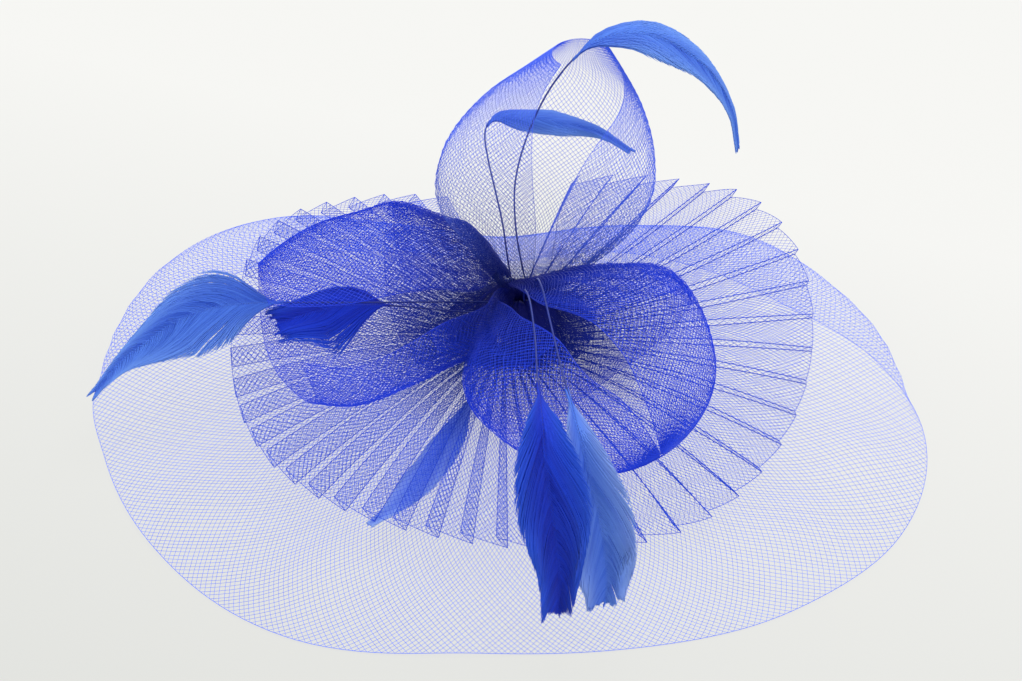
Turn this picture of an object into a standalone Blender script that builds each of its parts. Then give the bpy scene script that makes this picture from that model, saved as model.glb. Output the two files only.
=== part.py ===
"""A disc fascinator of blue crinoline net: a wide veil, a knife-pleated disc above it, three rolled
loops gathered in the middle, curled feathers on bare stems, and a hair comb underneath.

Units are metres, +Z is up and the piece lies on the ground plane as it would on a table.
Everything is modelled about the hub, the middle of the gathers, and then set down in one move.
"""

import bpy
import bmesh
import math
import numpy as np

# Walls and clearances
NET_WALL = 0.0010          # thickness of every net sheet
FEATHER_WALL = 0.0010      # thickness of a vane at its middle
SEAT_GAP = 0.0003          # what is stitched together keeps this much air
ROOT_GAP = 0.0005          # from the bunch's side to the end of a loop or stem that starts there
HEM_GAP = 0.0001           # the veil's hem above the ground

# The stack at the hub, from the ground up
COMB_TOP = 0.0270          # the comb's bar carries the veil
SEAT_INNER = 0.0060        # the round hole that the gathering thread closes
SEAT_OUTER = 0.0220        # the flat ring round it where the layers are stitched together
GATHER_RADIUS = 0.0105     # the bunched ends of the loops
GATHER_HEIGHT = 0.0200
GATHER_RIGHT = 0.0060      # the bunch sits a little right of the hub and behind it
GATHER_BEHIND = 0.0020
GATHER_TUCKS = 12
GATHER_TUCK_DEPTH = 0.0007
GATHER_DIMPLE = 0.0040

# The veil
VEIL_REACH = 0.1760        # hub to the furthest point of the hem
VEIL_LIFT = 0.0300         # height that the table's lift and shoulder are shares of
VEIL_STEPS_ROUND = 54
VEIL_STEPS_OUT = 9

# The pleated disc
DISC_REACH = 0.1280        # hub to the furthest point of the rim
DISC_LIFT = 0.0500         # height of the rim's highest point
PLEAT_PITCH = 7.2          # degrees
PLEAT_COUNT = 46
PLEAT_DEPTH = 0.0036
PLEAT_LEAN = 0.10          # share of a pitch from the valley to the ridge that overhangs it
DISC_CROWN = 0.0020        # how far the sheet bulges between the hub and the rim
DISC_DROP_POWER = 1.4      # how late the sheet bends down where its rim is low
DISC_CLIMB_POWER = 2.0     # and up where its rim is high
PLEATS_OPEN_BY = 0.6       # share of the way out by which the pleats have their full depth
V_START = 102.0            # azimuth of the left edge of the V-shaped gap at the back

# The comb
COMB_WIDTH = 0.0300
COMB_FRONT = 0.0140        # the bar's front edge, ahead of the hub
COMB_BAR = 0.0060
COMB_THICKNESS = 0.0024
TOOTH_COUNT = 7
TOOTH_LENGTH = 0.0240
TOOTH_SHARE = 0.50         # of the pitch of the teeth

# Shares of VEIL_REACH for hem and belly, and of VEIL_LIFT for shoulder and lift
VEIL_TABLE = [
    # azimuth, hem, belly, shoulder, lift
    (-180, 0.975, 1.00, 0.80, 0.25),
    (-165, 0.945, 0.80, 0.70, 0.08),
    (-145, 0.930, 0.62, 0.55, 0.04),
    (-120, 0.915, 0.58, 0.45, 0.04),
    (-95, 0.845, 0.56, 0.45, 0.04),
    (-75, 0.860, 0.56, 0.42, 0.03),
    (-50, 0.940, 0.60, 0.42, 0.03),
    (-30, 0.995, 0.64, 0.50, 0.05),
    (-10, 0.985, 0.90, 0.65, 0.18),
    (8, 0.900, 1.12, 0.85, 0.50),
    (25, 0.780, 1.16, 0.90, 0.75),
    (42, 0.710, 1.12, 0.80, 0.70),
    (60, 0.640, 0.90, 0.70, 0.55),
    (90, 0.520, 0.72, 0.60, 0.40),
    (115, 0.620, 0.88, 0.65, 0.50),
    (135, 0.770, 1.18, 0.80, 0.70),
    (152, 0.860, 1.26, 0.90, 0.75),
    (168, 0.930, 1.18, 0.90, 0.50),
]
VEIL_SHOULDER = 0.28       # share of VEIL_REACH

# Shares of VEIL_REACH for place and length, and of VEIL_LIFT for height
VEIL_DENTS = [
    # azimuth, place, half angle, length, height
    (-122, 0.72, 7, 0.12, 0.10),
    (-150, 0.80, 10, 0.12, 0.08),
    (-98, 0.74, 8, 0.10, 0.07),
    (-40, 0.80, 9, 0.12, 0.12),
    (-18, 0.84, 7, 0.10, 0.14),
]

# Shares of DISC_REACH and DISC_LIFT
DISC_TABLE = [
    # azimuth, reach, height
    (-258, 0.945, 0.30),
    (-245, 0.940, 0.46),
    (-232, 0.935, 0.60),
    (-218, 0.930, 0.74),
    (-205, 0.915, 0.78),
    (-192, 0.890, 0.66),
    (-180, 0.880, 0.50),
    (-170, 0.870, 0.36),
    (-150, 0.850, 0.27),
    (-130, 0.830, 0.30),
    (-110, 0.828, 0.35),
    (-92, 0.840, 0.34),
    (-78, 0.845, 0.26),
    (-63, 0.865, 0.19),
    (-50, 0.900, 0.20),
    (-35, 0.925, 0.28),
    (-20, 0.950, 0.42),
    (-8, 0.970, 0.56),
    (5, 0.990, 0.74),
    (17, 1.000, 0.90),
    (27, 1.000, 0.97),
    (38, 1.000, 0.92),
    (48, 1.000, 0.78),
    (60, 0.985, 0.66),
    (73, 0.960, 0.54),
]

# The rolled loops: each is a band on edge whose ends meet at the bunch, so it makes a pouch that swells
# from its root, closes in again at its tip, and is open along a slit between its two free edges
ROLL_STEPS_ROUND = 26
ROLL_STEPS_OUT = 10
ROLLS = {
    # root: azimuth, share of GATHER_RADIUS and share of GATHER_HEIGHT; angles in degrees.
    # Sections: along as a share of length, width and depth as shares of across, rise and drift as shares
    # of length, and the slit's two sides as angles round the section, 0 being the open side
    "loop_top": dict(azimuth=90, elevation=90, roll=0, root=(90, 0.5, 1.0), length=0.080, across=0.0430,
                     sections=[
        # along, width, depth, rise, drift, slit first, slit last
        (0.00, 0.13, 0.12, 0.00, 0.00, -12, 12),
        (0.15, 0.58, 0.42, -0.10, -0.09, -7, 7),
        (0.35, 0.98, 0.70, -0.22, -0.12, -5, 5),
        (0.55, 1.00, 0.75, -0.34, -0.14, -8, 8),
        (0.75, 0.78, 0.62, -0.46, -0.20, -27, 20),
        (0.90, 0.48, 0.42, -0.54, -0.27, -74, 38),
        (1.00, 0.28, 0.28, -0.58, -0.31, -100, 45)]),
    "loop_left": dict(azimuth=194, elevation=2, roll=0, root=(194, 1.0, 0.74), length=0.094, across=0.0540,
                      sections=[
        (0.00, 0.09, 0.08, 0.00, 0.00, 20, 60),
        (0.12, 0.70, 0.27, 0.06, -0.11, 34, 50),
        (0.30, 0.96, 0.42, 0.11, -0.12, 34, 58),
        (0.50, 0.98, 0.45, 0.12, -0.02, 30, 64),
        (0.70, 0.96, 0.44, 0.12, 0.04, 26, 66),
        (0.87, 0.82, 0.40, 0.11, 0.04, 18, 60),
        (1.00, 0.64, 0.35, 0.10, 0.03, 5, 50)]),
    "loop_right": dict(azimuth=-60, elevation=2, roll=12, root=(-60, 1.02, 0.74), length=0.090, across=0.0500,
                       sections=[
        (0.00, 0.09, 0.08, 0.00, 0.00, -40, -4),
        (0.12, 0.66, 0.30, 0.06, 0.02, -25, -9),
        (0.30, 0.97, 0.42, 0.10, 0.03, -21, -9),
        (0.52, 1.00, 0.44, 0.09, 0.03, -15, 2),
        (0.75, 0.86, 0.40, 0.05, 0.02, -20, 8),
        (0.92, 0.56, 0.28, 0.00, 0.00, -24, 8),
        (1.00, 0.30, 0.16, -0.02, 0.00, -26, 8)]),
}

# Feathers: the spine leaves its root on the bunch and the vane starts part of the way along
FEATHER_STEM = 0.0014      # width of a bare stem
FEATHER_STEPS = 16
FEATHERS = {
    # root: azimuth, share of GATHER_RADIUS and share of GATHER_HEIGHT; spine: shares of length from the root
    "feather_top_outer": dict(length=0.185, width=0.025, vane=0.50, cup=0.10, root=(65, 0.60, 1.0), spine=[
        (-0.012, 0.005, 0.060), (-0.025, 0.020, 0.150), (-0.025, 0.050, 0.235), (0.000, 0.108, 0.310),
        (0.042, 0.173, 0.375), (0.097, 0.222, 0.430), (0.160, 0.252, 0.467), (0.250, 0.260, 0.475),
        (0.335, 0.240, 0.447), (0.400, 0.210, 0.400), (0.443, 0.178, 0.335), (0.458, 0.135, 0.270)]),
    "feather_top_inner": dict(length=0.120, width=0.016, vane=0.52, cup=0.10, root=(120, 0.60, 1.0), spine=[
        (-0.016, 0.020, 0.100), (-0.033, 0.054, 0.215), (-0.058, 0.104, 0.315), (-0.083, 0.188, 0.390),
        (-0.090, 0.288, 0.430), (-0.040, 0.354, 0.440), (0.060, 0.340, 0.440), (0.175, 0.304, 0.447),
        (0.292, 0.290, 0.422), (0.392, 0.255, 0.372)]),
    "feather_left_outer": dict(length=0.174, width=0.030, vane=0.52, cup=0.08, root=(184, 1.0, 0.80), spine=[
        (-0.100, -0.018, 0.020), (-0.235, -0.015, 0.030), (-0.366, -0.010, 0.035), (-0.470, -0.010, 0.035),
        (-0.560, -0.010, 0.030), (-0.632, -0.010, 0.020), (-0.711, -0.030, 0.000), (-0.780, -0.065, -0.030),
        (-0.850, -0.130, -0.060), (-0.902, -0.205, -0.090)]),
    "feather_left_inner": dict(length=0.094, width=0.030, vane=0.50, cup=0.06, root=(210, 1.0, 0.70), spine=[
        (-0.190, -0.020, 0.000), (-0.380, -0.010, 0.005), (-0.520, -0.010, 0.005), (-0.650, -0.030, 0.005),
        (-0.780, -0.080, 0.005), (-0.900, -0.180, 0.000)]),
    "feather_front_main": dict(length=0.184, width=0.026, vane=0.46, cup=0.12, root=(-75, 0.60, 1.0), spine=[
        (0.000, -0.080, 0.090), (0.010, -0.230, 0.170), (0.018, -0.400, 0.210), (0.021, -0.520, 0.215),
        (0.028, -0.620, 0.190), (0.037, -0.690, 0.120), (0.051, -0.730, 0.020), (0.062, -0.745, -0.090),
        (0.060, -0.750, -0.200)]),
    "feather_front_back": dict(length=0.175, width=0.024, vane=0.50, cup=0.12, root=(-30, 0.62, 1.0), spine=[
        (0.008, -0.070, 0.100), (0.022, -0.200, 0.172), (0.040, -0.360, 0.200), (0.060, -0.490, 0.185),
        (0.085, -0.590, 0.145), (0.113, -0.650, 0.070), (0.141, -0.680, -0.020), (0.158, -0.695, -0.130),
        (0.157, -0.700, -0.205)]),
}
# The feather below the disc has its root against the disc's underside
UNDER_FEATHER = dict(length=0.075, width=0.013, vane=0.30, cup=0.04, root_azimuth=-112, root_share=0.10,
                     spine=[
    (-0.060, -0.180, -0.040), (-0.150, -0.380, -0.090), (-0.270, -0.580, -0.140), (-0.400, -0.760, -0.170),
    (-0.520, -0.880, -0.190)])
VANE_PROFILE = [
    # place along the vane, half width to the left, half width to the right
    (0.00, 0.05, 0.05),
    (0.12, 0.70, 0.75),
    (0.35, 1.00, 1.00),
    (0.60, 0.90, 0.95),
    (0.82, 0.60, 0.65),
    (1.00, 0.12, 0.12),
]

# Heights of the stack, each resting on the one below
VEIL_SEAT = COMB_TOP + SEAT_GAP + NET_WALL / 2
DISC_SEAT = VEIL_SEAT + NET_WALL + SEAT_GAP
GATHER_BOTTOM = DISC_SEAT + NET_WALL / 2 + SEAT_GAP
GATHER_TOP = GATHER_BOTTOM + GATHER_HEIGHT
HEM_HEIGHT = HEM_GAP + NET_WALL / 2


def clear_scene():
    for thing in list(bpy.data.objects):
        bpy.data.objects.remove(thing, do_unlink=True)


def make_material(name, colour, roughness, metallic=0.0):
    material = bpy.data.materials.new(name)
    material.use_nodes = True
    shader = material.node_tree.nodes["Principled BSDF"]
    shader.inputs["Base Color"].default_value = (*colour, 1.0)
    shader.inputs["Roughness"].default_value = roughness
    shader.inputs["Metallic"].default_value = metallic
    material.diffuse_color = (*colour, 1.0)
    return material


def smooth_rows(rows, x, period=None):
    """Reads a table at x: a smooth curve goes through its rows, the first column being the place."""
    table = np.array(rows, float)
    if period:
        table = np.vstack([table[-2:], table, table[:2]])
        table[:2, 0] -= period
        table[-2:, 0] += period
        x = (x - rows[0][0]) % period + rows[0][0]
    places, values = table[:, 0], table[:, 1:]
    i = int(np.clip(np.searchsorted(places, x) - 1, 0, len(places) - 2))
    before, after = max(i - 1, 0), min(i + 2, len(places) - 1)
    span = places[i + 1] - places[i]
    t = (x - places[i]) / span
    slope_a = (values[i + 1] - values[before]) / (places[i + 1] - places[before]) * span
    slope_b = (values[after] - values[i]) / (places[after] - places[i]) * span
    return ((2 * t**3 - 3 * t**2 + 1) * values[i] + (t**3 - 2 * t**2 + t) * slope_a
            + (3 * t**2 - 2 * t**3) * values[i + 1] + (t**3 - t**2) * slope_b)


def grid_normals(grid, closed):
    """Unit normals of a grid of points, from its own differences along both ways."""
    if closed:
        along = np.roll(grid, -1, axis=0) - np.roll(grid, 1, axis=0)
    else:
        along = np.gradient(grid, axis=0)
    across = np.gradient(grid, axis=1)
    normals = np.cross(along, across)
    return normals / np.linalg.norm(normals, axis=2, keepdims=True)


def sheet_solid(name, grid, wall, material, closed=False):
    """A closed wall round a grid of points [along, across, xyz]. Closed joins the last row to the first."""
    grid = np.array(grid, float)
    rows, columns = grid.shape[:2]
    shift = grid_normals(grid, closed) * wall / 2
    mesh = bpy.data.meshes.new(name)
    bm = bmesh.new()
    outer = [[bm.verts.new(p) for p in row] for row in grid + shift]
    inner = [[bm.verts.new(p) for p in row] for row in grid - shift]
    spans = rows if closed else rows - 1
    for i in range(spans):
        j = (i + 1) % rows
        for k in range(columns - 1):
            bm.faces.new((outer[i][k], outer[j][k], outer[j][k + 1], outer[i][k + 1]))
            bm.faces.new((inner[i][k], inner[i][k + 1], inner[j][k + 1], inner[j][k]))
        bm.faces.new((outer[i][0], inner[i][0], inner[j][0], outer[j][0]))
        bm.faces.new((outer[i][-1], outer[j][-1], inner[j][-1], inner[i][-1]))
    if not closed:
        for k in range(columns - 1):
            bm.faces.new((outer[0][k], outer[0][k + 1], inner[0][k + 1], inner[0][k]))
            bm.faces.new((outer[-1][k], inner[-1][k], inner[-1][k + 1], outer[-1][k + 1]))
    bmesh.ops.recalc_face_normals(bm, faces=bm.faces)
    bm.to_mesh(mesh)
    bm.free()
    mesh.shade_smooth()
    mesh.set_sharp_from_angle(angle=math.radians(50))
    thing = bpy.data.objects.new(name, mesh)
    thing.data.materials.append(material)
    bpy.context.scene.collection.objects.link(thing)
    return thing


def polar(azimuth, radius, height):
    a = math.radians(azimuth)
    return (radius * math.cos(a), radius * math.sin(a), height)


def veil_point(azimuth, t):
    """A point of the veil: t runs from the stitched ring, 0, to the hem, 1."""
    hem, belly, shoulder, lift = smooth_rows(VEIL_TABLE, azimuth, 360)
    radii = (SEAT_OUTER, VEIL_SHOULDER * VEIL_REACH, belly * VEIL_REACH, hem * VEIL_REACH)
    heights = (VEIL_SEAT, shoulder * VEIL_LIFT, lift * VEIL_LIFT + HEM_HEIGHT, HEM_HEIGHT)
    weights = ((1 - t)**3, 3 * t * (1 - t)**2, 3 * t**2 * (1 - t), t**3)
    radius = sum(w * r for w, r in zip(weights, radii))
    height = sum(w * h for w, h in zip(weights, heights))
    for centre, place, half_angle, length, rise in VEIL_DENTS:
        turn = (azimuth - centre + 180) % 360 - 180
        fade = math.exp(-(turn / half_angle)**2 - ((radius / VEIL_REACH - place) / length)**2)
        height += rise * VEIL_LIFT * fade
    return polar(azimuth, radius, height)


def build_veil(material):
    grid = []
    for i in range(VEIL_STEPS_ROUND):
        azimuth = -180 + 360 * i / VEIL_STEPS_ROUND
        row = [polar(azimuth, SEAT_INNER, VEIL_SEAT)]
        row += [veil_point(azimuth, k / VEIL_STEPS_OUT) for k in range(VEIL_STEPS_OUT + 1)]
        grid.append(row)
    return sheet_solid("veil", grid, NET_WALL, material, closed=True)


def disc_point(azimuth, share):
    """A point of the disc's middle surface, before pleating: share runs from the stitched ring to the rim."""
    reach, height = smooth_rows(DISC_TABLE, azimuth)
    radius = SEAT_OUTER + (reach * DISC_REACH - SEAT_OUTER) * share
    climb = height * DISC_LIFT - DISC_SEAT
    power = DISC_CLIMB_POWER if climb > 0 else DISC_DROP_POWER
    return radius, DISC_SEAT + climb * share**power + DISC_CROWN * 4 * share * (1 - share)


def disc_pleat(share):
    """Depth of the pleats at a share of the way out: they open from nothing at the stitched ring."""
    return PLEAT_DEPTH * min(1, share / PLEATS_OPEN_BY)


def build_disc(material):
    shares = (0.0, 0.12, 0.28, 0.46, 0.64, 0.82, 1.0)
    start = V_START - 360
    grid = []
    for pleat in range(PLEAT_COUNT + 1):
        for place, side in ((0.0, -0.5), (PLEAT_LEAN, 0.5)):
            if pleat == PLEAT_COUNT and side > 0:
                continue
            azimuth = start + (pleat + place) * PLEAT_PITCH
            row = [polar(azimuth, SEAT_INNER, DISC_SEAT)]
            for share in shares:
                radius, height = disc_point(azimuth, share)
                row.append(polar(azimuth, radius, height + side * disc_pleat(share)))
            grid.append(row)
    return sheet_solid("pleated_disc", grid, NET_WALL, material)


def gather_point(azimuth, share, up, tuck=0.0):
    """A point of the bunch, at shares of its radius and height."""
    x, y, z = polar(azimuth, share * GATHER_RADIUS - tuck, GATHER_BOTTOM + up * GATHER_HEIGHT)
    return np.array([x + GATHER_RIGHT, y + GATHER_BEHIND, z])


def root_point(azimuth, share, up):
    """Where a loop or a stem starts: just clear of the bunch's side, or of its top where up is 1."""
    sideways = 0.0 if up == 1 else ROOT_GAP
    upwards = SEAT_GAP + NET_WALL / 2 if up == 1 else 0.0
    return gather_point(azimuth, share, up) + polar(azimuth, sideways, upwards)


def build_gather(material):
    """The bunched net in the middle: a tucked drum with a dimple in its top."""
    rings = [
        # share of GATHER_RADIUS, share of GATHER_HEIGHT
        (1.00, 0.0),
        (1.00, 0.90),
        (0.90, 1.0),
        (0.32, 1.0),
    ]
    steps = GATHER_TUCKS * 2
    bm = bmesh.new()
    loops = []
    for share, up in rings:
        loop = []
        for i in range(steps):
            tuck = GATHER_TUCK_DEPTH if i % 2 else 0.0
            loop.append(bm.verts.new(gather_point(360 * i / steps, share, up, tuck)))
        loops.append(loop)
    for low, high in zip(loops, loops[1:]):
        for i in range(steps):
            j = (i + 1) % steps
            bm.faces.new((low[i], low[j], high[j], high[i]))
    bottom = bm.verts.new(gather_point(0, 0, 0))
    pit = bm.verts.new(gather_point(0, 0, 1 - GATHER_DIMPLE / GATHER_HEIGHT))
    for i in range(steps):
        j = (i + 1) % steps
        bm.faces.new((bottom, loops[0][j], loops[0][i]))
        bm.faces.new((pit, loops[-1][i], loops[-1][j]))
    mesh = bpy.data.meshes.new("gathered_centre")
    bmesh.ops.recalc_face_normals(bm, faces=bm.faces)
    bm.to_mesh(mesh)
    bm.free()
    mesh.shade_smooth()
    thing = bpy.data.objects.new("gathered_centre", mesh)
    mesh.materials.append(material)
    bpy.context.scene.collection.objects.link(thing)
    return thing


def roll_axes(azimuth, elevation, roll):
    """A rolled loop's own directions: out along it, to its side, and towards its open side."""
    a, e, r = (math.radians(v) for v in (azimuth, elevation, roll))
    out = np.array([math.cos(e) * math.cos(a), math.cos(e) * math.sin(a), math.sin(e)])
    level = np.array([-math.sin(a), math.cos(a), 0.0])
    up = np.cross(out, level)
    side = math.cos(r) * level + math.sin(r) * up
    return out, side, np.cross(out, side)


def roll_point(row, along, around):
    """A point of a rolled loop: around runs from one free edge round the closed side to the other."""
    out, side, front = roll_axes(row["azimuth"], row["elevation"], row["roll"])
    width, depth, rise, drift, first, last = smooth_rows(row["sections"], along)
    angle = math.radians(first - (360 + first - last) * around)
    sideways = drift * row["length"] + width * row["across"] * math.sin(angle)
    forward = rise * row["length"] + depth * row["across"] * math.cos(angle)
    return root_point(*row["root"]) + out * along * row["length"] + side * sideways + front * forward


def build_roll(name, row, material):
    grid = []
    for i in range(ROLL_STEPS_ROUND + 1):
        around = i / ROLL_STEPS_ROUND
        grid.append([roll_point(row, k / ROLL_STEPS_OUT, around) for k in range(ROLL_STEPS_OUT + 1)])
    return sheet_solid(name, grid, NET_WALL, material)


def feather_grid(row, root):
    """Points of a vane on a bare stem: the stem is the same strip, drawn in to its own width."""
    points = [(0.0, 0.0, 0.0)] + row["spine"]
    rows = [(i / (len(points) - 1), *p) for i, p in enumerate(points)]
    across = (-1.0, -0.5, 0.0, 0.5, 1.0)
    grid = []
    for i in range(FEATHER_STEPS + 1):
        share = i / FEATHER_STEPS
        here = root + smooth_rows(rows, share) * row["length"]
        ahead = smooth_rows(rows, min(1, share + 0.01)) - smooth_rows(rows, max(0, share - 0.01))
        ahead = ahead / np.linalg.norm(ahead)
        side = np.cross(ahead, (0.0, 0.0, 1.0))
        side = side / np.linalg.norm(side)
        over = np.cross(side, ahead)
        half = FEATHER_STEM / 2
        left, right = half, half
        if share > row["vane"]:
            vane = smooth_rows(VANE_PROFILE, (share - row["vane"]) / (1 - row["vane"]))
            left = max(half, vane[0] * row["width"] / 2)
            right = max(half, vane[1] * row["width"] / 2)
        line = []
        for k in across:
            width = left if k < 0 else right
            line.append(here + side * width * k - over * row["cup"] * width * k * k)
        grid.append(line)
    return grid


def build_feather(name, row, material):
    return sheet_solid(name, feather_grid(row, root_point(*row["root"])), FEATHER_WALL, material)


def build_under_feather(material):
    row = UNDER_FEATHER
    radius, height = disc_point(row["root_azimuth"], row["root_share"])
    below = disc_pleat(row["root_share"]) / 2 + NET_WALL / 2 + SEAT_GAP + FEATHER_WALL / 2
    root = np.array(polar(row["root_azimuth"], radius, height - below))
    return sheet_solid("feather_under", feather_grid(row, root), FEATHER_WALL, material)


def build_comb(material):
    """A flat comb: a bar with pointed teeth, cut from one sheet."""
    pitch = COMB_WIDTH / TOOTH_COUNT
    half_tooth = pitch * TOOTH_SHARE / 2
    edge = COMB_WIDTH / 2
    front, back = -COMB_FRONT, COMB_BAR - COMB_FRONT
    tip = back + TOOTH_LENGTH
    outline = [(-edge, front), (edge, front), (edge, back)]
    for i in reversed(range(TOOTH_COUNT)):
        x = -edge + pitch * (i + 0.5)
        outline += [(x + half_tooth, back), (x + half_tooth, tip - half_tooth), (x, tip),
                    (x - half_tooth, tip - half_tooth), (x - half_tooth, back)]
    outline.append((-edge, back))
    bm = bmesh.new()
    face = bm.faces.new([bm.verts.new((x, y, COMB_TOP)) for x, y in outline])
    raised = bmesh.ops.extrude_face_region(bm, geom=[face])
    moved = [v for v in raised["geom"] if isinstance(v, bmesh.types.BMVert)]
    bmesh.ops.translate(bm, verts=moved, vec=(0, 0, -COMB_THICKNESS))
    bmesh.ops.recalc_face_normals(bm, faces=bm.faces)
    mesh = bpy.data.meshes.new("hair_comb")
    bm.to_mesh(mesh)
    bm.free()
    mesh.materials.append(material)
    thing = bpy.data.objects.new("hair_comb", mesh)
    bpy.context.scene.collection.objects.link(thing)
    return thing


def set_down(pieces):
    """Hangs the pieces on one empty and moves it so that the middle of the whole base is the origin."""
    points = np.array([v.co for piece in pieces for v in piece.data.vertices])
    low, high = points.min(axis=0), points.max(axis=0)
    carrier = bpy.data.objects.new("fascinator", None)
    bpy.context.scene.collection.objects.link(carrier)
    carrier.location = (-(low[0] + high[0]) / 2, -(low[1] + high[1]) / 2, -low[2])
    for piece in pieces:
        piece.parent = carrier


def build_all():
    clear_scene()
    veil_net = make_material("veil_net", (0.45, 0.50, 0.95), 0.45)
    disc_net = make_material("disc_net", (0.15, 0.19, 0.85), 0.45)
    loop_net = make_material("loop_net", (0.05, 0.06, 0.62), 0.45)
    gather_net = make_material("gather_net", (0.02, 0.02, 0.30), 0.55)
    feather_blue = make_material("feather_blue", (0.02, 0.08, 0.60), 0.55)
    comb_plastic = make_material("comb_plastic", (0.03, 0.04, 0.40), 0.35)
    pieces = [
        build_veil(veil_net),
        build_disc(disc_net),
        build_gather(gather_net),
        build_comb(comb_plastic),
    ]
    pieces += [build_roll(name, row, loop_net) for name, row in ROLLS.items()]
    pieces += [build_feather(name, row, feather_blue) for name, row in FEATHERS.items()]
    pieces.append(build_under_feather(feather_blue))
    set_down(pieces)


build_all()
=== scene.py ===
import math

import bpy
import numpy as np
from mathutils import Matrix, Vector


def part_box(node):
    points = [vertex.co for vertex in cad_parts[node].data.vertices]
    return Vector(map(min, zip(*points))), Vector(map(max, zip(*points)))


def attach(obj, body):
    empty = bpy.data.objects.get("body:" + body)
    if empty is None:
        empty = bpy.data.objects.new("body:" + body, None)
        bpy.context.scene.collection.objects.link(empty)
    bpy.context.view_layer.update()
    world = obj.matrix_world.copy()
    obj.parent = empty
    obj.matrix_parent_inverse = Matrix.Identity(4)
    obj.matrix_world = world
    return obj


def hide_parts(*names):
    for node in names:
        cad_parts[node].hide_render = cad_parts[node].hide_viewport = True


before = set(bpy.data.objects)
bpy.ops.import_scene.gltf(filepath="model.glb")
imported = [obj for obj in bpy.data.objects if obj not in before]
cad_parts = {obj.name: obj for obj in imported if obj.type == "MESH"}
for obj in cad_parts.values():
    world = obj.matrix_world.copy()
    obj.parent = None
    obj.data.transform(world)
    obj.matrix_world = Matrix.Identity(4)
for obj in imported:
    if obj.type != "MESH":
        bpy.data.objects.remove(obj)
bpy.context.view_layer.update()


# The veil, the wide bottom layer. It is one band of crinoline braid, thin nylon threads plaited on the
# bias between two selvedges. One selvedge is drawn up on a thread at the middle, so that the crossing
# threads close up towards it, and the other is the hem. Behind, the band bellies out and tucks under.
NET_WALL = 0.0010          # thickness of a net in the frame's solids
SEAT_GAP = 0.0003          # what is stitched together keeps this much air
COMB_TOP = 0.0270          # the comb's bar carries the veil
COMB_FRONT = 0.0140        # the bar's front edge, ahead of the hub
SEAT_INNER = 0.0060        # the round hole that the gathering thread closes
SEAT_OUTER = 0.0220        # the flat ring round it where the layers are stitched together
VEIL_REACH = 0.1760        # hub to the furthest point of the hem
VEIL_LIFT = 0.0300         # height that the table's lift and shoulder are shares of
VEIL_SHOULDER = 0.28       # share of VEIL_REACH
VEIL_SEAT = COMB_TOP + SEAT_GAP + NET_WALL / 2
HEM_HEIGHT = 0.0006
VEIL_COLUMNS = 110         # points of the cloth from the gathering out to the hem
MESH_PITCH = 0.0017        # between two threads of the braid
THREAD = 0.00017           # a thread's thickness
CROSSING = 0.4             # how far a thread runs over or under the cloth's middle, in thicknesses
BIAS = math.radians(45)    # between threads and selvedge where the braid is wide open
LEAST_LEAN = math.radians(2.5)      # the same where the veil is drawn up
LIT_SIDE = math.radians(-30)        # azimuth where light passes through the veil

VEIL_TABLE = [
    # azimuth, hem, belly, shoulder, lift
    (-180, 0.975, 1.00, 0.80, 0.25),
    (-165, 0.945, 0.80, 0.70, 0.08),
    (-145, 0.930, 0.62, 0.55, 0.04),
    (-120, 0.915, 0.58, 0.45, 0.04),
    (-95, 0.845, 0.56, 0.45, 0.04),
    (-75, 0.860, 0.56, 0.42, 0.03),
    (-50, 0.940, 0.60, 0.42, 0.03),
    (-30, 0.995, 0.64, 0.50, 0.05),
    (-10, 0.985, 0.90, 0.65, 0.18),
    (8, 0.900, 1.12, 0.85, 0.50),
    (25, 0.780, 1.16, 0.90, 0.75),
    (42, 0.710, 1.12, 0.80, 0.70),
    (60, 0.640, 0.90, 0.70, 0.55),
    (90, 0.520, 0.72, 0.60, 0.40),
    (115, 0.620, 0.88, 0.65, 0.50),
    (135, 0.770, 1.18, 0.80, 0.70),
    (152, 0.860, 1.26, 0.90, 0.75),
    (168, 0.930, 1.18, 0.90, 0.50),
]
VEIL_DENTS = [
    # azimuth, place, half angle, length, height
    (-122, 0.72, 7, 0.12, 0.10),
    (-150, 0.80, 10, 0.12, 0.08),
    (-98, 0.74, 8, 0.10, 0.07),
    (-40, 0.80, 9, 0.12, 0.12),
    (-18, 0.84, 7, 0.10, 0.14),
]

comb_low, comb_high = (np.array(corner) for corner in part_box("hair_comb"))
HUB = np.array([(comb_low[0] + comb_high[0]) / 2, comb_low[1] + COMB_FRONT, comb_high[2] - COMB_TOP])


def table_at(rows, x, period=None):
    """The table's values at every place in x, on a smooth curve through its rows."""
    table = np.array(rows, float)
    x = np.asarray(x, float)
    if period:
        table = np.vstack([table[-2:], table, table[:2]])
        table[:2, 0] -= period
        table[-2:, 0] += period
        x = (x - rows[0][0]) % period + rows[0][0]
    places, values = table[:, 0], table[:, 1:]
    last = len(places) - 1
    i = np.clip(np.searchsorted(places, x) - 1, 0, last - 1)
    before, after = np.maximum(i - 1, 0), np.minimum(i + 2, last)
    span = (places[i + 1] - places[i])[..., None]
    t = (x - places[i])[..., None] / span
    slope_a = (values[i + 1] - values[before]) / (places[i + 1] - places[before])[..., None] * span
    slope_b = (values[after] - values[i]) / (places[after] - places[i])[..., None] * span
    return ((2 * t**3 - 3 * t**2 + 1) * values[i] + (t**3 - 2 * t**2 + t) * slope_a
            + (3 * t**2 - 2 * t**3) * values[i + 1] + (t**3 - t**2) * slope_b)


def from_hub(azimuth, radius, height):
    a = np.radians(azimuth)
    return np.stack([radius * np.cos(a), radius * np.sin(a), height + 0 * a], axis=-1)


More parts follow.
